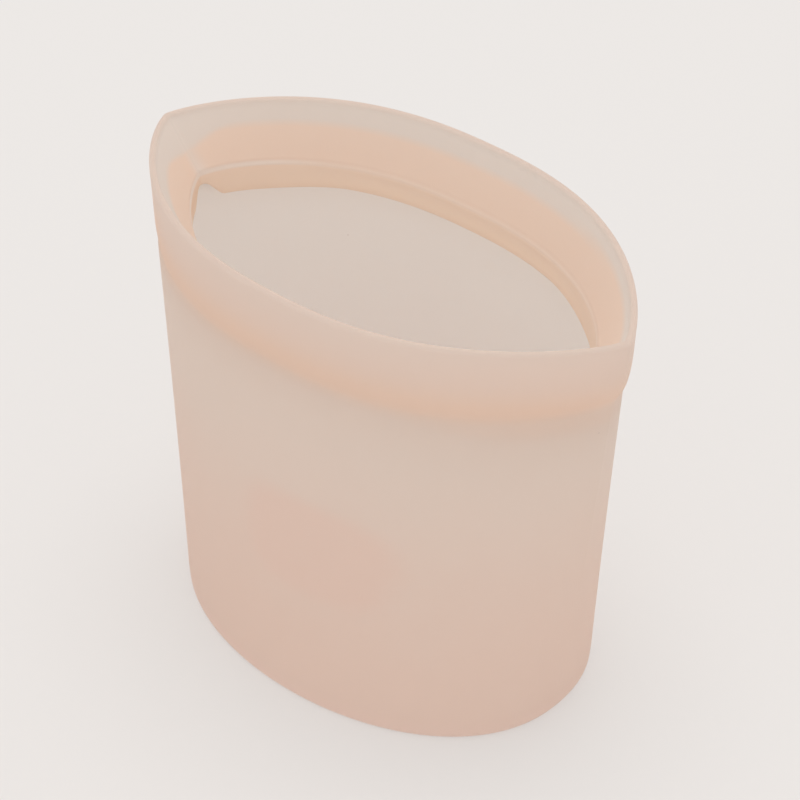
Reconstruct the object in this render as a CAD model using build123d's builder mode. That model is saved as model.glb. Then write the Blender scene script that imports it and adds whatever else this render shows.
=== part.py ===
from build123d import *
from math import atan2, cos, degrees, hypot, pi, sin
import os

os.makedirs("parts", exist_ok=True)

# Whole bag with its mouth open, in millimetres. It stands on z = 0, and x runs along the mouth.
bag_height = 162.0
mouth_length = 190.0
mouth_depth = 106.0
base_length = 154.0
base_depth = 109.0
wall = 2.0

# Each lip bows out from the mouth's long axis by half_depth * (1 - u ** fullness) ** taper.
# The neck has a smaller taper, so its flanks are fuller than the lips'.
bow_fullness = 2.39
lip_taper = 0.85
neck_taper = 0.70
bow_points = 15

# Band round the mouth: a flared lip above a thick zip strip
band_height = 28.0
zip_face_height = 10.0
shoulder_height = 14.0
shoulder_inset = 0.8
neck_end_inset = 5.0
neck_side_inset = 0.0
zip_end_inset = 13.0
zip_side_inset = 11.0
rim_thickness = 2.6
rim_round = 1.2

# Press zip: a tongue on the front strip, a groove in the back strip
tongue_height = 3.2
tongue_reach = 2.0
tongue_rise = 5.0
tongue_round = 0.6
tongue_trim = 0.5
groove_clearance = 0.4
seal_gap = 0.3

# The lips bend as a row of short lengths between the two welded ends.
links_each_side = 4
weld_length = 10.0
kerf = 0.3
wall_gap = 0.3
end_gap = 0.5
closing_steps = 40
halvings = 40

# Foot
foot_height = 6.0
foot_width = 6.0
foot_round = 2.5
floor_lift = 0.8
floor_thickness = 2.4

# Side walls are the strips within this distance of the bag's two ends.
edge_width = 12.0

band_bottom = bag_height - band_height
wall_top = band_bottom - wall_gap
zip_half_length = mouth_length / 2 - zip_end_inset
zip_half_depth = mouth_depth / 2 - zip_side_inset
neck_half_length = mouth_length / 2 - neck_end_inset
neck_half_depth = mouth_depth / 2 - neck_side_inset
link_length = (zip_half_length - weld_length) / (links_each_side + 0.5)
beyond = 2 * mouth_length
up = Vector(0, 0, 1)


def bow(x, half_length, half_depth, taper=lip_taper):
    """Half depth of the open mouth at x."""
    return half_depth * (1 - abs(x / half_length) ** bow_fullness) ** taper


def next_pivot(x):
    """The point of the zip's face one link further out than the point at x."""
    near = x
    far = min(x + link_length, zip_half_length)
    depth = bow(x, zip_half_length, zip_half_depth)
    for _ in range(halvings):
        middle = (near + far) / 2
        reach = hypot(middle - x, bow(middle, zip_half_length, zip_half_depth) - depth)
        if reach < link_length:
            near = middle
        else:
            far = middle
    return middle


pivot_x = [link_length / 2]
for _ in range(links_each_side):
    pivot_x.append(next_pivot(pivot_x[-1]))
pivot_y = [bow(x, zip_half_length, zip_half_depth) for x in pivot_x]
headings = [0.0]
for inner in range(links_each_side):
    drop = pivot_y[inner] - pivot_y[inner + 1]
    headings.append(atan2(drop, pivot_x[inner + 1] - pivot_x[inner]))
travel = pivot_y[0] - seal_gap / 2
print("link length", round(link_length, 3), "travel", round(travel, 3))
print("headings", [round(degrees(heading), 2) for heading in headings])


# The oval outlines


def eye_outline(half_length, half_depth, taper=lip_taper):
    """Pointed oval made of two bows that meet at the mouth's ends."""
    steps = [i / (bow_points - 1) * 2 - 1 for i in range(bow_points)]
    across = [half_length * sin(step * pi / 2) for step in steps]
    depth = [bow(x, half_length, half_depth, taper) for x in across]
    depth[0] = 0
    depth[-1] = 0
    with BuildLine() as outline:
        Spline(*[(x, -y) for x, y in zip(across, depth)])
        Spline(*[(x, y) for x, y in zip(across, depth)])
    return outline.line


def oval_outline(half_length, half_depth):
    """Smooth oval of the base, in a front half and a back half."""
    with BuildLine() as outline:
        EllipticalCenterArc((0, 0), half_length, half_depth, 180, arc_size=180)
        EllipticalCenterArc((0, 0), half_length, half_depth, 0, arc_size=180)
    return outline.line


# Foot and floor: the smooth oval that the bag stands on

with BuildPart() as foot_ring:
    with BuildSketch():
        make_face(oval_outline(base_length / 2, base_depth / 2).edges())
    extrude(amount=foot_height)
    fillet(foot_ring.edges().group_by(Axis.Z)[0], foot_round)
    with BuildSketch():
        make_face(oval_outline(base_length / 2 - foot_width, base_depth / 2 - foot_width).edges())
    extrude(amount=foot_height, mode=Mode.SUBTRACT)
foot_ring.part.label = "foot_ring"
export_step(foot_ring.part, "parts/foot_ring.step")

with BuildPart() as base_floor:
    with BuildSketch(Plane.XY.offset(floor_lift)):
        make_face(oval_outline(base_length / 2 - foot_width, base_depth / 2 - foot_width).edges())
    extrude(amount=floor_thickness)
base_floor.part.label = "base_floor"
export_step(base_floor.part, "parts/base_floor.step")


# Wall: straight lines from the base oval up to the pointed neck, cut into the four sides

with BuildPart() as bag_wall:
    with BuildSketch(Plane.XY.offset(foot_height)):
        make_face(oval_outline(base_length / 2, base_depth / 2).edges())
    with BuildSketch(Plane.XY.offset(wall_top)):
        make_face(eye_outline(neck_half_length, neck_half_depth, neck_taper).edges())
    loft(ruled=True)
    with BuildSketch(Plane.XY.offset(foot_height)):
        make_face(oval_outline(base_length / 2 - wall, base_depth / 2 - wall).edges())
    with BuildSketch(Plane.XY.offset(wall_top)):
        make_face(eye_outline(neck_half_length - wall, neck_half_depth - wall, neck_taper).edges())
    loft(ruled=True, mode=Mode.SUBTRACT)


def wall_side(name, outline, front):
    """One side of the wall: what stands over a region of the front view."""
    with BuildPart() as side:
        add(bag_wall.part)
        with BuildSketch(Plane.XZ):
            with BuildLine():
                Polyline(*outline, close=True)
            make_face()
        if front is None:
            extrude(amount=mouth_depth, both=True, mode=Mode.INTERSECT)
        else:
            extrude(amount=mouth_depth * front, mode=Mode.INTERSECT)
    side.part.label = name
    export_step(side.part, f"parts/{name}.step")
    return side.part


low_edge = base_length / 2 - edge_width
high_edge = neck_half_length - edge_width
middle_region = [(-low_edge, 0), (low_edge, 0), (high_edge, wall_top), (-high_edge, wall_top)]
wall_side("front_wall", middle_region, 1)
wall_side("back_wall", middle_region, -1)
for hand, side_name in ((1, "right_side_wall"), (-1, "left_side_wall")):
    side_region = [
        (hand * low_edge, 0),
        (hand * beyond, 0),
        (hand * beyond, wall_top),
        (hand * high_edge, wall_top),
    ]
    wall_side(side_name, side_region, None)


# Lips: short lengths of one band section, set along the bow of the zip's face

rim_out = zip_side_inset
shoulder_out = zip_side_inset - shoulder_inset
neck_out = zip_side_inset - neck_side_inset
band_thickness = max(rim_out, neck_out)
band_outline = [
    (0, band_bottom),
    (0, band_bottom + zip_face_height),
    (rim_out - rim_thickness, bag_height),
    (rim_out, bag_height),
    (shoulder_out, band_bottom + shoulder_height),
    (neck_out, band_bottom),
]
groove_depth = tongue_reach + groove_clearance
groove_height = tongue_height + 2 * groove_clearance


def section_plane(centre, outward):
    """Upright plane across a link: x points out of the bag, y points up."""
    return Plane(origin=centre, x_dir=outward, z_dir=outward.cross(up))


def lip_band(name, centre, outward, grooved):
    """One length of lip and zip strip."""
    with BuildPart() as band:
        with BuildSketch(section_plane(centre, outward)) as section:
            with BuildLine():
                Polyline(*band_outline, close=True)
            make_face()
            fillet(section.vertices().group_by(Axis.Y)[-1], rim_round)
            if grooved:
                with Locations((groove_depth / 2, band_bottom + tongue_rise)):
                    Rectangle(groove_depth, groove_height, mode=Mode.SUBTRACT)
        extrude(amount=(link_length - kerf) / 2, both=True)
    band.part.label = name
    export_step(band.part, f"parts/{name}.step")


def zip_tongue(name, centre, outward):
    """One length of the tongue that stands in from the front strip."""
    with BuildPart() as tongue:
        with BuildSketch(section_plane(centre, outward)) as section:
            with Locations((-tongue_reach / 2, band_bottom + tongue_rise)):
                Rectangle(tongue_reach, tongue_height)
            fillet(section.vertices().group_by(Axis.X)[0], tongue_round)
        extrude(amount=(link_length - kerf) / 2 - tongue_trim, both=True)
    tongue.part.label = name
    export_step(tongue.part, f"parts/{name}.step")


def lip_row(place, side, grooved):
    """A whole lip: the middle link, then pairs of links out to both ends."""
    lip_band(f"{place}_lip_mid", Vector(0, side * pivot_y[0], 0), Vector(0, side, 0), grooved)
    if not grooved:
        zip_tongue("zip_tongue_mid", Vector(0, side * pivot_y[0], 0), Vector(0, side, 0))
    for number in range(1, links_each_side + 1):
        across = (pivot_x[number - 1] + pivot_x[number]) / 2
        depth = (pivot_y[number - 1] + pivot_y[number]) / 2
        lean = headings[number]
        for hand, hand_name in ((1, "right"), (-1, "left")):
            centre = Vector(hand * across, side * depth, 0)
            outward = Vector(hand * sin(lean), side * cos(lean), 0)
            lip_band(f"{place}_lip_{hand_name}_{number}", centre, outward, grooved)
            if not grooved:
                zip_tongue(f"zip_tongue_{hand_name}_{number}", centre, outward)


lip_row("front", -1, False)
lip_row("back", 1, True)


# Welded ends, where the two lips and the zip run together

with BuildPart() as mouth_ring:
    with BuildSketch(Plane.XY.offset(band_bottom)):
        make_face(eye_outline(neck_half_length, neck_half_depth, neck_taper).edges())
    with BuildSketch(Plane.XY.offset(band_bottom + shoulder_height)):
        shoulder_half_length = mouth_length / 2 - shoulder_inset
        shoulder_half_depth = mouth_depth / 2 - shoulder_inset
        make_face(eye_outline(shoulder_half_length, shoulder_half_depth).edges())
    with BuildSketch(Plane.XY.offset(bag_height)):
        make_face(eye_outline(mouth_length / 2, mouth_depth / 2).edges())
    loft(ruled=True)
    with BuildSketch(Plane.XY.offset(band_bottom)):
        make_face(eye_outline(zip_half_length, zip_half_depth).edges())
    extrude(amount=zip_face_height, mode=Mode.SUBTRACT)
    with BuildSketch(Plane.XY.offset(band_bottom + zip_face_height)):
        make_face(eye_outline(zip_half_length, zip_half_depth).edges())
    with BuildSketch(Plane.XY.offset(bag_height)):
        lip_half_length = mouth_length / 2 - rim_thickness
        lip_half_depth = mouth_depth / 2 - rim_thickness
        make_face(eye_outline(lip_half_length, lip_half_depth).edges())
    loft(ruled=True, mode=Mode.SUBTRACT)


def furthest_reach():
    """How far along x the last link's outer corner comes while the mouth shuts."""
    reach = 0
    for step in range(closing_steps + 1):
        open_share = 1 - step / closing_steps
        tip = link_length / 2
        for heading in headings[1:]:
            tip += link_length * cos(heading * open_share)
        reach = max(reach, tip + band_thickness * sin(headings[-1] * open_share))
    return reach


def zip_end(name, hand):
    """The part of the ring that the last links stay clear of."""
    start = furthest_reach() + end_gap
    with BuildPart() as end:
        add(mouth_ring.part)
        with BuildSketch(Plane.XY.offset(band_bottom)):
            with BuildLine():
                Polyline(
                    (hand * start, -mouth_depth),
                    (hand * beyond, -mouth_depth),
                    (hand * beyond, mouth_depth),
                    (hand * start, mouth_depth),
                    close=True,
                )
            make_face()
        extrude(amount=band_height, mode=Mode.INTERSECT)
    end.part.label = name
    export_step(end.part, f"parts/{name}.step")


zip_end("right_zip_end", 1)
zip_end("left_zip_end", -1)
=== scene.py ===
import bpy
import bmesh
import math
from mathutils import Matrix, Vector


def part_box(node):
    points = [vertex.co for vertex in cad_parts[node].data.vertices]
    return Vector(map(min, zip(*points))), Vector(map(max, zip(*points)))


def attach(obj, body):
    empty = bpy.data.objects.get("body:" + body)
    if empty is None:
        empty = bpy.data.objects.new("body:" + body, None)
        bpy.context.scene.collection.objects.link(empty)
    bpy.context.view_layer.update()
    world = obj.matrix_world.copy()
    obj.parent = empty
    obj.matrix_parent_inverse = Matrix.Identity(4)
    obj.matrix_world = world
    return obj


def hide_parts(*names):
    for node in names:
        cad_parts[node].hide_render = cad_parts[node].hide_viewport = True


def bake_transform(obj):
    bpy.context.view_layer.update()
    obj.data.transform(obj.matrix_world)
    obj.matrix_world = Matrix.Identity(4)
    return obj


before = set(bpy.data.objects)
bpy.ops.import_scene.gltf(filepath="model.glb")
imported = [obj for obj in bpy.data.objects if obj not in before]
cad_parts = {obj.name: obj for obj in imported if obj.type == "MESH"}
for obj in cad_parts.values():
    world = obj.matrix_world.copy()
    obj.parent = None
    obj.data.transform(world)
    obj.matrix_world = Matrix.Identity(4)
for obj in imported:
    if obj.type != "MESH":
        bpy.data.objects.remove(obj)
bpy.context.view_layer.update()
print("frame loaded:", len(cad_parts), "nodes")

millimetre = 0.001

# sizes that every piece shares, read from the frame
rimLow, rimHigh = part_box("front_lip_mid")
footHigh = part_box("foot_ring")[1]
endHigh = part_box("right_zip_end")[1]
floorLow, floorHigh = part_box("base_floor")

bag = {
    "rimHalfLength": endHigh.x - 0.3 * millimetre,
    "rimHalfDepth": -rimLow.y,
    "bandBottom": rimLow.z,
    "zipHalfDepth": -rimHigh.y,
    "zipHalfLength": endHigh.x - 15.4 * millimetre,
    "footHalfLength": footHigh.x - 0.6 * millimetre,
    "footHalfDepth": footHigh.y,
    "footHeight": footHigh.z,
    "floorTop": floorHigh.z,
    "floorUnder": floorLow.z,
    "wall": 2.0 * millimetre,
    "neckEndInset": 5.2 * millimetre,
    "fullness": 2.39,  # power of the lips' bow: 2 is a plain oval, more is fuller
    "lipTaper": 0.795,  # how sharply the bow closes at its two ends
    "neckTaper": 0.70,
    "baseFullness": 2.0,
    "baseTaper": 0.455,
    "cornerDrop": 2.0 * millimetre,
    "zipSag": 1.7 * millimetre,
    "zipLift": 6.0 * millimetre,
}
bandHeight = 28  # lip and zip together, in millimetres


# Wires: arithmetic on node sockets, for shader and geometry trees alike

class Wire:
    def __init__(self, tree, socket=None):
        self.tree = tree
        self.socket = socket

    def node(self, kind, settings=None, inputs=None, out=0):
        made = self.tree.nodes.new(kind)
        for name, value in (settings or {}).items():
            if name == "stops":
                ramp = made.color_ramp
                while len(ramp.elements) < len(value):
                    ramp.elements.new(0.5)
                for element, (place, colour) in zip(ramp.elements, value):
                    element.position = place
                    element.color = colour
            else:
                setattr(made, name, value)
        for name, value in (inputs or {}).items():
            if isinstance(value, Wire):
                self.tree.links.new(value.socket, made.inputs[name])
            else:
                made.inputs[name].default_value = value
        return Wire(self.tree, made.outputs[out] if len(made.outputs) else None)

    def sum(self, operation, *values):
        inputs = {place: value for place, value in enumerate(values)}
        return self.node("ShaderNodeMath", {"operation": operation}, inputs)

    def __add__(self, other):
        return self.sum("ADD", self, other)

    def __radd__(self, other):
        return self.sum("ADD", other, self)

    def __sub__(self, other):
        return self.sum("SUBTRACT", self, other)

    def __rsub__(self, other):
        return self.sum("SUBTRACT", other, self)

    def __mul__(self, other):
        return self.sum("MULTIPLY", self, other)

    def __rmul__(self, other):
        return self.sum("MULTIPLY", other, self)

    def __truediv__(self, other):
        return self.sum("DIVIDE", self, other)

    def __rtruediv__(self, other):
        return self.sum("DIVIDE", other, self)

    def __pow__(self, other):
        return self.sum("POWER", self, other)

    def __abs__(self):
        return self.sum("ABSOLUTE", self)

    def smooth(self, low, high):
        # 0 below low, 1 above high, eased between them
        inputs = {"Value": self, "From Min": low, "From Max": high, "To Min": 0.0, "To Max": 1.0}
        return self.node("ShaderNodeMapRange", {"interpolation_type": "SMOOTHSTEP"}, inputs)

    def fade(self, first, second):
        # colour that goes from first to second as this value goes from 0 to 1
        made = self.tree.nodes.new("ShaderNodeMix")
        made.data_type = "RGBA"
        self.tree.links.new(self.socket, made.inputs["Factor"])
        for socket, value in ((made.inputs[6], first), (made.inputs[7], second)):
            if isinstance(value, Wire):
                self.tree.links.new(value.socket, socket)
            else:
                socket.default_value = (*value, 1.0)
        return Wire(self.tree, made.outputs[2])


# Silicone: pale where it is thin, peach where the zip makes it thick, pinker low down, with painted light making the
# inner skin paler, a painted highlight along the zip's ridge and painted shade on the rim's top

silicone = {
    "lipOutside": (0.790, 0.640, 0.560),
    # painted light: the lips' inner faces are paler and greyer, for light shining through them from behind
    "lipInsideBacklit": (0.770, 0.738, 0.685),
    "wallOutside": (0.800, 0.660, 0.575),
    "wallLow": (0.825, 0.597, 0.497),
    # painted light: the inner skin is paler, for light shining through the wall from behind
    "wallInsideBacklit": (0.985, 0.985, 0.975),
    "bandOutside": (0.860, 0.630, 0.500),
    "bandInside": (0.905, 0.680, 0.530),
    "zipFace": (1.000, 0.800, 0.620),
    # painted highlight along the zip's ridge, paler towards the left weld
    "ridge": (0.980, 0.830, 0.700),
    "ridgeEndHighlight": (0.930, 0.860, 0.790),
    "ridgeHighlightStrength": 0.45,
    # painted shade darkening the rim's top against the light from above
    "rimTopShade": (0.680, 0.555, 0.480),
    "footEdge": (0.900, 0.660, 0.570),
    "footEdgeStrength": 0.6,
    "glowPeach": (0.940, 0.868, 0.815),
    "glowPale": (1.0, 1.0, 0.990),
    "translucency": 0.50,
    "roughness": 0.55,
    "specular": 0.25,
    "cloudScale": 18.0,
    "cloudDrift": 0.05,
    "frostScale": 900.0,
    "frostBump": 0.12,
    "frostDepth": 0.0003,
    "speckSize": 0.0005,
    "speckSpacing": 0.020,
    "speckColour": (0.30, 0.24, 0.20),
    "speckStrength": 0.35,
}

# faint pink cloud low on the front wall
patch = {
    "x": 0.014,
    "z": 0.068,
    "halfWidth": 0.031,
    "halfHeight": 0.021,
    "squareness": 3.0,
    "strength": 0.8,
    "colour": (0.835, 0.578, 0.480),
}


def siliconeMaterial():
    made = bpy.data.materials.new("peachSilicone")
    made.use_nodes = True
    tree = made.node_tree
    tree.nodes.clear()
    start = Wire(tree)
    place = start.node("ShaderNodeTexCoord", out="Object")
    width = start.node("ShaderNodeSeparateXYZ", inputs={"Vector": place}, out="X")
    depth = start.node("ShaderNodeSeparateXYZ", inputs={"Vector": place}, out="Y")
    height = start.node("ShaderNodeSeparateXYZ", inputs={"Vector": place}, out="Z")
    thick = start.node("ShaderNodeAttribute", {"attribute_name": "thick"}, out="Fac")
    inside = start.node("ShaderNodeAttribute", {"attribute_name": "inside"}, out="Fac")
    rim = start.node("ShaderNodeAttribute", {"attribute_name": "rim"}, out="Fac")
    cloudInputs = {"Vector": place, "Scale": silicone["cloudScale"], "Detail": 3.0, "Roughness": 0.55}
    cloud = start.node("ShaderNodeTexNoise", inputs=cloudInputs, out="Fac")
    frostInputs = {"Vector": place, "Scale": silicone["frostScale"], "Detail": 2.0, "Roughness": 0.6}
    frost = start.node("ShaderNodeTexNoise", inputs=frostInputs, out="Fac")

    def aboveBand(low, high):
        # 0 to 1 between two heights over the band's lower edge, in millimetres
        return height.smooth(bag["bandBottom"] + low * millimetre, bag["bandBottom"] + high * millimetre)

    # walls, pinker towards the foot
    lowness = 1 - (height + (cloud - 0.5) * silicone["cloudDrift"]).smooth(0.02, 0.125)
    outside = lowness.fade(silicone["wallOutside"], silicone["wallLow"])
    aside = abs((width + (cloud - 0.5) * 0.02 - patch["x"]) / patch["halfWidth"])
    above = abs((height - patch["z"]) / patch["halfHeight"])
    away = (aside ** patch["squareness"] + above ** patch["squareness"]) ** 0.333
    flush = (1 - away.smooth(0.72, 1.12)) * (1 - depth.smooth(-0.02, 0.0)) * patch["strength"]
    outside = flush.fade(outside, patch["colour"])
    # painted light: the inner skin is painted paler, for the light that shines through the single wall from behind
    wallColour = inside.fade(outside, silicone["wallInsideBacklit"])

    # lips, the thick band and the zip's face
    lipness = aboveBand(3, 14)
    # painted light: the lips' inner faces are painted paler and greyer, for light shining through them from behind
    lipColour = inside.fade(silicone["lipOutside"], silicone["lipInsideBacklit"])
    stripColour = aboveBand(7.4, 8.4).fade(silicone["zipFace"], silicone["bandInside"])
    bandColour = inside.fade(silicone["bandOutside"], stripColour)
    baseColour = thick.fade(lipness.fade(wallColour, lipColour), bandColour)

    # painted highlight: a pale line along the top of the zip's face, where its ridge catches the light from above,
    # stronger at the left weld
    ridgeHighlight = aboveBand(7.2, 8.1) * (1 - aboveBand(8.6, 9.8)) * inside
    endward = (0 - width).smooth(0.045, 0.072)
    ridgeHighlightColour = endward.fade(silicone["ridge"], silicone["ridgeEndHighlight"])
    baseColour = (ridgeHighlight * ((1 + endward) * silicone["ridgeHighlightStrength"])).fade(baseColour, ridgeHighlightColour)

    # painted shade: the rim's top is darkened where the light from above would make it bright
    baseColour = rim.fade(baseColour, silicone["rimTopShade"])
    edge = (1 - height.smooth(0.002, 0.008)) * silicone["footEdgeStrength"]
    baseColour = edge.fade(baseColour, silicone["footEdge"])

    # a few specks of dust
    cells = {"Vector": place, "Scale": 1 / silicone["speckSpacing"], "Randomness": 1.0}
    speckDistance = start.node("ShaderNodeTexVoronoi", inputs=cells, out="Distance")
    speckEdge = silicone["speckSize"] / silicone["speckSpacing"]
    speck = 1 - speckDistance.smooth(speckEdge * 0.6, speckEdge)
    dusty = (speck * silicone["speckStrength"]).fade(baseColour, silicone["speckColour"])

    bumpInputs = {"Height": frost, "Strength": silicone["frostBump"], "Distance": silicone["frostDepth"]}
    bump = start.node("ShaderNodeBump", inputs=bumpInputs, out="Normal")
    skin = start.node("ShaderNodeBsdfPrincipled", inputs={
        "Base Color": dusty,
        "Roughness": silicone["roughness"] + (frost - 0.5) * 0.15,
        "Normal": bump,
        "Specular IOR Level": silicone["specular"],
    })
    peachGlow = start.node("ShaderNodeBsdfTranslucent", inputs={"Color": (*silicone["glowPeach"], 1)})
    paleGlow = start.node("ShaderNodeBsdfTranslucent", inputs={"Color": (*silicone["glowPale"], 1)})
    thinInside = inside * (1 - thick) * (1 - lipness)
    glow = start.node("ShaderNodeMixShader", inputs={0: thinInside, 1: peachGlow, 2: paleGlow})
    both = start.node("ShaderNodeMixShader", inputs={0: silicone["translucency"], 1: skin, 2: glow})
    start.node("ShaderNodeOutputMaterial", inputs={"Surface": both})
    return made


siliconeSkin = siliconeMaterial()
print("material ready")


# Ring loft: every row of a profile is one ring round the mouth's long axis

# places along half the mouth, from 0 at its middle to 1 at its end
ends = {
    "sagLeft": (0.55, 0.88),
    "sagRight": (0.45, 0.95),
    "sagRightTimes": 3.0,
    "lift": (0.96, 1.0),
    "cornerPower": 6.0,
    "bandFade": 0.035,
    "thickLeft": (0.5, 0.92),
    "thickRight": (0.35, 0.8),
}


def ringLoftTree():
    tree = bpy.data.node_groups.new("ringLoft", "GeometryNodeTree")
    face = tree.interface
    face.new_socket("Geometry", in_out="INPUT", socket_type="NodeSocketGeometry")
    named = (
        ("Profile", "NodeSocketObject", None),
        ("Rows", "NodeSocketInt", 3),
        ("Columns", "NodeSocketInt", 181),
        ("Side", "NodeSocketFloat", -1.0),
        ("Whole", "NodeSocketBool", False),
        ("Lip Fullness", "NodeSocketFloat", 2.39),
        ("Lip Taper", "NodeSocketFloat", 0.795),
        ("Corner Drop", "NodeSocketFloat", 0.0),
        ("Zip Sag", "NodeSocketFloat", 0.0),
        ("Zip Lift", "NodeSocketFloat", 0.0),
        ("Material", "NodeSocketMaterial", None),
    )
    for name, kind, value in named:
        socket = face.new_socket(name, in_out="INPUT", socket_type=kind)
        if value is not None:
            socket.default_value = value
    face.new_socket("Geometry", in_out="OUTPUT", socket_type="NodeSocketGeometry")
    given = tree.nodes.new("NodeGroupInput")
    start = Wire(tree)

    def take(name):
        return Wire(tree, given.outputs[name])

    gridInputs = {"Size X": 1.0, "Size Y": 1.0, "Vertices X": take("Columns"), "Vertices Y": take("Rows")}
    grid = start.node("GeometryNodeMeshGrid", inputs=gridInputs, out="Mesh")
    position = start.node("GeometryNodeInputPosition")
    across = start.node("ShaderNodeSeparateXYZ", inputs={"Vector": position}, out="X")
    along = start.node("ShaderNodeSeparateXYZ", inputs={"Vector": position}, out="Y")
    row = start.sum("ROUND", (along + 0.5) * (take("Rows") - 1))
    reach = start.sum("SINE", across * math.pi)
    info = start.node("GeometryNodeObjectInfo", inputs={"Object": take("Profile")}, out="Geometry")

    def sampled(name):
        value = start.node("GeometryNodeInputNamedAttribute", {"data_type": "FLOAT"}, {"Name": name})
        settings = {"data_type": "FLOAT", "domain": "POINT", "clamp": True}
        return start.node("GeometryNodeSampleIndex", settings, {"Geometry": info, "Value": value, "Index": row})

    corner = start.node("GeometryNodeSampleIndex", {"data_type": "FLOAT_VECTOR", "domain": "POINT"},
                        {"Geometry": info, "Value": position, "Index": row})
    halfLength = start.node("ShaderNodeSeparateXYZ", inputs={"Vector": corner}, out="X")
    halfDepth = start.node("ShaderNodeSeparateXYZ", inputs={"Vector": corner}, out="Y")
    height = start.node("ShaderNodeSeparateXYZ", inputs={"Vector": corner}, out="Z")
    size = abs(reach)
    leftward = 0 - reach
    bow = start.sum("MAXIMUM", 1 - size ** sampled("fullness"), 0.0) ** sampled("taper")
    lipBow = start.sum("MAXIMUM", 1 - size ** take("Lip Fullness"), 0.0) ** take("Lip Taper")
    # the corners drop, and the zip's lower edge droops towards its ends and rises at the left weld
    drop = take("Corner Drop") * (size ** ends["cornerPower"]) * sampled("crown")
    sagShape = leftward.smooth(*ends["sagLeft"]) + reach.smooth(*ends["sagRight"]) * ends["sagRightTimes"]
    lifting = take("Zip Lift") * leftward.smooth(*ends["lift"])
    drop = drop + (take("Zip Sag") * sagShape - lifting) * sampled("sag")
    moved = start.node("ShaderNodeCombineXYZ", inputs={
        "X": reach * halfLength,
        "Y": take("Side") * (halfDepth * bow),
        "Z": height - drop,
    })
    # the thick band stops short of the left corner, and reaches higher on the right
    bandEnd = sampled("bandEnd")
    bandLeft = sampled("thick") * (1 - leftward.smooth(bandEnd, bandEnd + ends["bandFade"]))
    thickLeft = sampled("leftThick") * leftward.smooth(*ends["thickLeft"])
    thickRight = sampled("rightThick") * reach.smooth(*ends["thickRight"])
    # stored before the grid is bent, while its own places still give row and column
    marked = grid
    for name, value in (
        ("closing", lipBow * sampled("rise")),
        ("thick", bandLeft + thickLeft + thickRight),
        ("inside", sampled("inside")),
        ("rim", sampled("rim")),
    ):
        marked = start.node("GeometryNodeStoreNamedAttribute", {"data_type": "FLOAT", "domain": "POINT"},
                            {"Geometry": marked, "Name": name, "Value": value})
    shaped = start.node("GeometryNodeSetPosition", inputs={"Geometry": marked, "Position": moved})
    turned = start.node("GeometryNodeFlipFaces", inputs={"Mesh": shaped})
    shaped = start.node("GeometryNodeSwitch", {"input_type": "GEOMETRY"}, {
        "Switch": start.sum("GREATER_THAN", take("Side"), 0.0), "False": shaped, "True": turned})
    mirrored = start.node("GeometryNodeTransform", inputs={"Geometry": shaped, "Scale": (1.0, -1.0, 1.0)})
    mirrored = start.node("GeometryNodeFlipFaces", inputs={"Mesh": mirrored})
    joined = tree.nodes.new("GeometryNodeJoinGeometry")
    tree.links.new(mirrored.socket, joined.inputs[0])
    tree.links.new(shaped.socket, joined.inputs[0])
    chosen = start.node("GeometryNodeSwitch", {"input_type": "GEOMETRY"}, {
        "Switch": take("Whole"), "False": shaped, "True": Wire(tree, joined.outputs[0])})
    welded = start.node("GeometryNodeMergeByDistance", inputs={"Geometry": chosen, "Distance": 0.00002})
    soft = start.node("GeometryNodeSetShadeSmooth", inputs={"Geometry": welded})
    solid = start.node("GeometryNodeRealizeInstances", inputs={"Geometry": soft})
    coated = start.node("GeometryNodeSetMaterial", inputs={"Geometry": solid, "Material": take("Material")})
    tree.nodes.new("NodeGroupOutput")
    tree.links.new(coated.socket, tree.nodes["Group Output"].inputs[0])
    return tree


ringLoft = ringLoftTree()
ringFields = ("fullness", "taper", "rise", "thick", "inside", "crown", "sag", "rim", "bandEnd", "leftThick",
              "rightThick")


ringColumns = 181


def profileObject(name, rings):
    mesh = bpy.data.meshes.new(name + "Profile")
    points = [(ring["halfLength"], ring["halfDepth"], ring["height"]) for ring in rings]
    mesh.from_pydata(points, [(i, i + 1) for i in range(len(points) - 1)], [])
    for field in ringFields:
        attribute = mesh.attributes.new(field, "FLOAT", "POINT")
        for item, ring in zip(attribute.data, rings):
            item.value = ring[field]
    made = bpy.data.objects.new(name + "Profile", mesh)
    bpy.context.scene.collection.objects.link(made)
    return made


def ringLoftPiece(name, rings, side=-1.0, whole=False, capped=False):
    profile = profileObject(name, rings)
    carrier = bpy.data.objects.new(name, bpy.data.meshes.new(name))
    bpy.context.scene.collection.objects.link(carrier)
    modifier = carrier.modifiers.new("ringLoft", "NODES")
    modifier.node_group = ringLoft
    values = {
        "Profile": profile,
        "Rows": len(rings),
        "Columns": ringColumns,
        "Side": side,
        "Whole": whole,
        "Lip Fullness": bag["fullness"],
        "Lip Taper": bag["lipTaper"],
        "Corner Drop": bag["cornerDrop"],
        "Zip Sag": bag["zipSag"],
        "Zip Lift": bag["zipLift"],
        "Material": siliconeSkin,
    }
    sockets = {item.name: item.identifier for item in ringLoft.interface.items_tree if item.in_out == "INPUT"}
    for key, value in values.items():
        modifier[sockets[key]] = value
    bpy.context.view_layer.update()
    seen = carrier.evaluated_get(bpy.context.evaluated_depsgraph_get())
    mesh = bpy.data.meshes.new_from_object(seen)
    mesh.name = name
    carrier.modifiers.remove(modifier)
    carrier.data = mesh
    bpy.data.objects.remove(profile)
    tidyMesh(carrier.data, capped)
    return carrier


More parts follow.
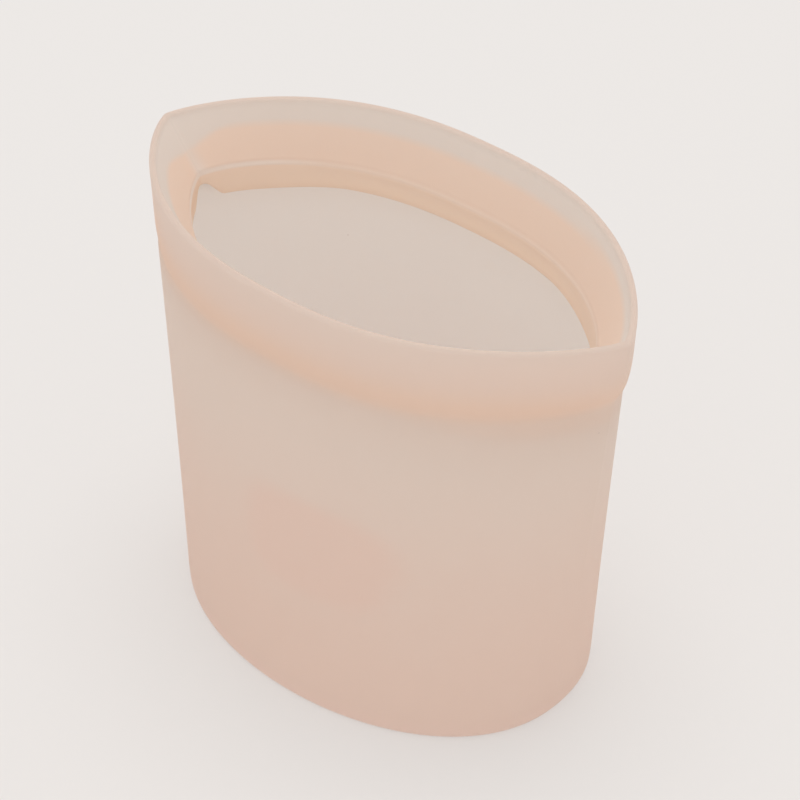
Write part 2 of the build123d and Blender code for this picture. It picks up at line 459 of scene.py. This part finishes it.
def tidyMesh(mesh, capped):
    # the bag's skin carries on from piece to piece, so only a loose bead gets end caps
    shape = bmesh.new()
    shape.from_mesh(mesh)
    loose = [edge for edge in shape.edges if edge.is_wire]
    bmesh.ops.delete(shape, geom=loose, context="EDGES")
    if capped:
        rims = [edge for edge in shape.edges if edge.is_boundary]
        bmesh.ops.holes_fill(shape, edges=rims, sides=0)
        bmesh.ops.recalc_face_normals(shape, faces=shape.faces)
    shape.to_mesh(mesh)
    shape.free()


def ring(endInset, sideInset, height, taper, **extra):
    # insets in millimetres from the rim's outline, height in metres
    made = dict.fromkeys(ringFields, 0.0)
    made["halfLength"] = bag["rimHalfLength"] - endInset * millimetre
    made["halfDepth"] = bag["rimHalfDepth"] - sideInset * millimetre
    made["height"] = height
    made["fullness"] = bag["fullness"]
    made["taper"] = taper
    made["rise"] = 1.0
    made["bandEnd"] = 2.0  # past the corner, so the band never stops
    made.update(extra)
    return made


def clamp(value):
    return min(1, max(0, value))


def wallRing(height, inset, inside):
    # the wall runs straight from the foot's outline to the neck's, and on down into the foot
    t = (height - bag["footHeight"]) / (bag["bandBottom"] - bag["footHeight"])
    up = max(t, 0)
    made = ring(0, 0, height, bag["baseTaper"] + (bag["neckTaper"] - bag["baseTaper"]) * up)
    neckLength = bag["rimHalfLength"] - bag["neckEndInset"]
    made["halfLength"] = bag["footHalfLength"] + (neckLength - bag["footHalfLength"]) * t - inset
    made["halfDepth"] = bag["footHalfDepth"] + (bag["rimHalfDepth"] - bag["footHalfDepth"]) * t - inset
    made["fullness"] = bag["baseFullness"] + (bag["fullness"] - bag["baseFullness"]) * up
    made["rise"] = 0.45 * up * up * (3 - 2 * up) + 0.55 * up ** 1.3  # share of the lip's motion
    made["inside"] = inside
    return made


def wallRings(inset, inside, top, rows=26):
    low = bag["footHeight"]
    return [wallRing(low + (top - low) * i / rows, inset, inside) for i in range(rows + 1)]


def at(rise):
    return bag["bandBottom"] + rise * millimetre


# insets of the zip's face from the rim's outline
zipEnd = (bag["rimHalfLength"] - bag["zipHalfLength"]) / millimetre
zipSide = (bag["rimHalfDepth"] - bag["zipHalfDepth"]) / millimetre

# Lip and zip strip, in millimetres over the band's lower edge
band = {
    # outside, neck to rim: height, inset, share of the way from the neck's bow to the lip's, thickness of colour
    "outside": ((1.5, 4.9, 0.1, 0.35), (3.0, 4.2, 0.22, 0.75), (5.0, 3.2, 0.35, 1.0), (7.5, 2.1, 0.52, 0.9),
                (10.0, 1.5, 0.66, 0.6), (13.0, 1.0, 0.78, 0.25), (16.0, 0.7, 0.86, 0.05), (20.0, 0.45, 0.93, 0.0),
                (24.0, 0.2, 0.98, 0.0), (26.4, 0.05, 1.0, 0.0)),
    "outsideSideInset": 0.8,
    "leftThick": 0.4,
    "rimRows": 8,
    "rimMiddle": 1.3,
    "rimHalf": 1.25,
    "rimFoot": 26.9,
    "rimRound": 1.35,
    # inside, from the rim down to the zip's ridge
    "slopeRows": 20,
    "slopeTop": 26.2,
    "slopeInset": 2.75,
    "slopeFoot": 9.8,
    "ridgeEndStep": 0.4,
    "ridgeSideStep": 0.6,
    "thickness": 0.9,
    "bandEndFront": 0.70,
    "bandEndBack": 0.78,
    "bandEndLow": 0.98,
    "leanFront": 0.01,  # the front strip closes in on the weld more sharply than the back one
    "leanBack": -0.10,
    # ridge: height, inset from the zip's face, thickness of colour, droop
    "ridge": ((9.2, -0.45, 0.9, 0.0), (8.7, -0.12, 0.85, 0.0), (8.2, 0.0, 0.85, 0.0), (7.6, 0.0, 1.0, 0.05)),
    "ridgeCrown": 0.3,
    "ridgeFoot": 8.2,
    # zip's face: height, depth of the groove in the back strip
    "face": ((7.0, 0.0), (6.3, 0.2), (5.5, 0.35), (4.6, 0.4), (3.7, 0.35), (2.8, 0.2), (2.0, 0.0)),
    "faceTop": 8,
    # rounded lower edge: height, inset from the zip's face
    "lowerEdge": ((0.4, 0.0), (-0.15, -0.15), (-0.4, -0.6), (-0.45, -1.4)),
}


def bandRings(side):
    # from the neck outside, up over the rim, and down the inside to under the zip
    lip = bag["lipTaper"]
    neck = bag["neckTaper"]
    lean = band["leanBack"] if side > 0 else band["leanFront"]
    rings = []
    for rise, inset, share, thick in band["outside"]:
        sideInset = min(inset, band["outsideSideInset"])
        leftThick = min(band["leftThick"], 1 - thick) if rise > 6 else 0.0
        rings.append(ring(inset, sideInset, at(rise), neck + (lip - neck) * share, thick=thick,
                          crown=rise / bandHeight, leftThick=leftThick))
    # the rim rings carry a rim weight that sets where the rim's top gets its painted shade
    for i in range(band["rimRows"] + 1):
        turn = math.pi * i / band["rimRows"]
        inset = band["rimMiddle"] - band["rimHalf"] * math.cos(turn)
        rings.append(ring(inset, inset, at(band["rimFoot"] + band["rimRound"] * math.sin(turn)), lip, crown=1.0,
                          inside=i / band["rimRows"], rim=math.sin(turn) ** 1.5))
    top = band["slopeInset"]
    bandEnd = band["bandEndBack"] if side > 0 else band["bandEndFront"]
    for i in range(band["slopeRows"] + 1):
        t = i / band["slopeRows"]
        rise = band["slopeTop"] + (band["slopeFoot"] - band["slopeTop"]) * t
        thick = clamp((t - 0.25) / 0.15) * band["thickness"]
        rings.append(ring(top + (zipEnd - band["ridgeEndStep"] - top) * t,
                          top + (zipSide - band["ridgeSideStep"] - top) * t,
                          at(rise), lip + lean * t, thick=thick, inside=1.0, crown=rise / bandHeight,
                          rightThick=clamp((t - 0.10) / 0.15) * band["thickness"] - thick,
                          bandEnd=bandEnd + (band["bandEndLow"] - bandEnd) * clamp((t - 0.2) / 0.4) ** 0.4))
    inner = lip + lean
    for rise, proud, thick, sag in band["ridge"]:
        rings.append(ring(zipEnd + proud, zipSide + proud, at(rise), inner, thick=thick, inside=1.0,
                          crown=band["ridgeCrown"], sag=sag))
    for rise, groove in band["face"]:
        sunk = groove if side > 0 else 0.0
        rings.append(ring(zipEnd, zipSide - sunk, at(rise), inner, thick=1.0, inside=1.0,
                          crown=band["ridgeCrown"] * rise / band["ridgeFoot"],
                          sag=(band["faceTop"] - rise) / band["faceTop"]))
    for rise, inset in band["lowerEdge"]:
        rings.append(ring(zipEnd + inset, zipSide + inset, at(rise), inner, thick=1.0, inside=1.0, sag=1.0))
    return rings


def shellRings(side):
    outer = wallRings(0.0, 0.0, bag["bandBottom"])
    inner = wallRings(bag["wall"], 1.0, bag["bandBottom"] - 0.45 * millimetre)
    inner[-1]["sag"] = 1.0
    inner[-2]["sag"] = 0.35
    return outer + bandRings(side) + inner[::-1]


# Dish that the bag stands on, insets in millimetres from the wall's outline
foot = {
    "filletRows": 6,
    "floorShares": (0.8, 0.6, 0.4, 0.2, 0.0),
    "undersideShares": (0.0, 0.3, 0.6, 0.85),
    "stepInset": 6.5,
    "soleInner": 5.5,
    "soleOuter": 3.8,
    "edgeRound": 2.0,
    "edgeRows": 8,
}


def footRings():
    # inside skin down to the middle, then the underside and its rounded edge
    low = bag["footHeight"]
    fillet = low - bag["floorTop"]
    rings = []
    for i in range(foot["filletRows"] + 1):
        turn = math.pi / 2 * i / foot["filletRows"]
        rings.append(wallRing(low - fillet * math.sin(turn), bag["wall"] + fillet * (1 - math.cos(turn)), 1.0))
    for height, shares, inside in ((bag["floorTop"], foot["floorShares"], 1.0),
                                   (bag["floorUnder"], foot["undersideShares"], 0.0)):
        for share in shares:
            made = wallRing(height, 0.0, inside)
            made["halfLength"] *= share
            made["halfDepth"] *= share
            rings.append(made)
    rings.append(wallRing(bag["floorUnder"] * 0.5, foot["stepInset"] * millimetre, 0.0))
    rings.append(wallRing(0.0, foot["soleInner"] * millimetre, 0.0))
    rings.append(wallRing(0.0, foot["soleOuter"] * millimetre, 0.0))
    radius = foot["edgeRound"] * millimetre
    for i in range(foot["edgeRows"] + 1):
        turn = math.pi / 2 * i / foot["edgeRows"]
        rings.append(wallRing(radius * (1 - math.cos(turn)), radius * (1 - math.sin(turn)), 0.0))
    rings.append(wallRing(low * 0.6, 0.0, 0.0))
    rings.append(wallRing(low, 0.0, 0.0))
    return rings


# Small rounded bead on the front zip face, in millimetres
bead = {
    "rows": 8,
    "height": 4.6,
    "halfHeight": 1.3,
    "proud": 0.45,
    "pastEnd": 2.0,
    "rootPastEnd": 2.4,
    "rootDepth": 0.4,
    "rootHalfHeight": 1.2,
    "sag": 0.36,
    "sagSpread": 0.2,  # draws the bead to a point at the left weld
}


def tongueRings():
    taper = bag["lipTaper"] + band["leanFront"]
    rings = []
    for i in range(bead["rows"] + 1):
        turn = math.pi * i / bead["rows"]
        proud = bead["proud"] * math.sin(turn) ** 0.7
        rise = bead["height"] + bead["halfHeight"] * math.cos(turn)
        rings.append(ring(zipEnd - bead["pastEnd"], zipSide + proud, at(rise), taper, thick=1.0, inside=1.0,
                          sag=bead["sag"] - bead["sagSpread"] * math.cos(turn)))
    for rise in (bead["height"] - bead["rootHalfHeight"], bead["height"] + bead["rootHalfHeight"]):
        rings.append(ring(zipEnd - bead["rootPastEnd"], zipSide - bead["rootDepth"], at(rise), taper,
                          thick=1.0, inside=1.0, sag=bead["sag"]))
    return rings + [dict(rings[0])]


frontShell = ringLoftPiece("bagFront", shellRings(-1), side=-1.0)
backShell = ringLoftPiece("bagBack", shellRings(1), side=1.0)
footPiece = ringLoftPiece("bagFoot", footRings(), side=-1.0, whole=True)
zipBead = ringLoftPiece("zipTongue", tongueRings(), side=-1.0, capped=True)
print("shells lofted:", [len(piece.data.polygons) for piece in (frontShell, backShell, footPiece, zipBead)])


# How the pieces sit with the frame: the shells and bead are baked in place, the foot is attached to the root body,
# and the frame's own pieces are hidden

def closeWith(piece):
    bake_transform(piece)


nodeNames = sorted(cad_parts)
closeWith(frontShell)
closeWith(backShell)
closeWith(zipBead)
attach(footPiece, "root")
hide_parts(*[name for name in nodeNames if name.startswith("front_")])
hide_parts("left_side_wall", "right_side_wall", "left_zip_end", "right_zip_end")
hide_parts(*[name for name in nodeNames if name.startswith("back_")])
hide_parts("foot_ring", "base_floor")
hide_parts(*[name for name in nodeNames if name.startswith("zip_tongue")])


# Floor, light and camera

studio = {
    "floorHalf": 4,
    "floorColour": (0.845, 0.813, 0.789),
    "floorMatt": 0.42,
    "lightSum": 1.2,
    "worldColour": (1.0, 1.0, 1.0),
    "worldStrength": 0.90,
    "keyStrength": 0.96,
    "keySpread": 42,
    "keyTurn": 180,
    "keyElevation": 81,
    "azimuth": 40.61,
    "elevation": 38.88,
    "roll": -0.13,
    "distance": 0.95183,
    "lens": 124.3,
    "aimRight": 0.00466,
    "aimUp": 0.06952,
}


def floorMaterial():
    made = bpy.data.materials.new("paleFloor")
    made.use_nodes = True
    shader = made.node_tree.nodes["Principled BSDF"]
    matt = [part * studio["floorMatt"] for part in studio["floorColour"]]
    shader.inputs["Base Color"].default_value = (*matt, 1)
    # lit from below like a light table, which keeps the shadow close to the foot
    shader.inputs["Emission Color"].default_value = (*studio["floorColour"], 1)
    shader.inputs["Emission Strength"].default_value = 1 - studio["floorMatt"] * studio["lightSum"]
    shader.inputs["Roughness"].default_value = 0.9
    shader.inputs["Specular IOR Level"].default_value = 0.0
    return made


reach = studio["floorHalf"]
floorMesh = bpy.data.meshes.new("floor")
floorMesh.from_pydata([(-reach, -reach, 0), (reach, -reach, 0), (reach, reach, 0), (-reach, reach, 0)], [],
                      [(0, 1, 2, 3)])
floor = bpy.data.objects.new("floor", floorMesh)
bpy.context.scene.collection.objects.link(floor)
floorMesh.materials.append(floorMaterial())

world = bpy.data.worlds.new("softRoom")
bpy.context.scene.world = world
world.use_nodes = True
world.node_tree.nodes["Background"].inputs["Color"].default_value = (*studio["worldColour"], 1)
world.node_tree.nodes["Background"].inputs["Strength"].default_value = studio["worldStrength"]


def softKey():
    # wide soft light from above and behind, so the shadow falls short and towards the camera
    data = bpy.data.lights.new("softKey", "SUN")
    data.energy = studio["keyStrength"]
    data.angle = math.radians(studio["keySpread"])
    key = bpy.data.objects.new("softKey", data)
    heading = math.radians(studio["azimuth"] + studio["keyTurn"])
    height = math.radians(studio["keyElevation"])
    towards = Vector((math.sin(heading) * math.cos(height), -math.cos(heading) * math.cos(height), math.sin(height)))
    key.rotation_euler = towards.to_track_quat("Z", "Y").to_euler()
    bpy.context.scene.collection.objects.link(key)


softKey()

turn = math.radians(studio["azimuth"])
tilt = math.radians(studio["elevation"])
back = Vector((math.sin(turn) * math.cos(tilt), -math.cos(turn) * math.cos(tilt), math.sin(tilt)))
right = Vector((math.cos(turn), math.sin(turn), 0))
up = back.cross(right)
cameraData = bpy.data.cameras.new("camera")
cameraData.lens = studio["lens"]
cameraData.clip_start = 0.01
camera = bpy.data.objects.new("camera", cameraData)
stand = right * studio["aimRight"] + up * studio["aimUp"] + back * studio["distance"]
roll = Matrix.Rotation(math.radians(studio["roll"]), 4, "Z")
camera.matrix_world = Matrix.Translation(stand) @ Matrix((right, up, back)).transposed().to_4x4() @ roll
bpy.context.scene.collection.objects.link(camera)
bpy.context.scene.camera = camera
bpy.context.scene.view_settings.view_transform = "Standard"
print("studio ready")

bpy.context.view_layer.update()
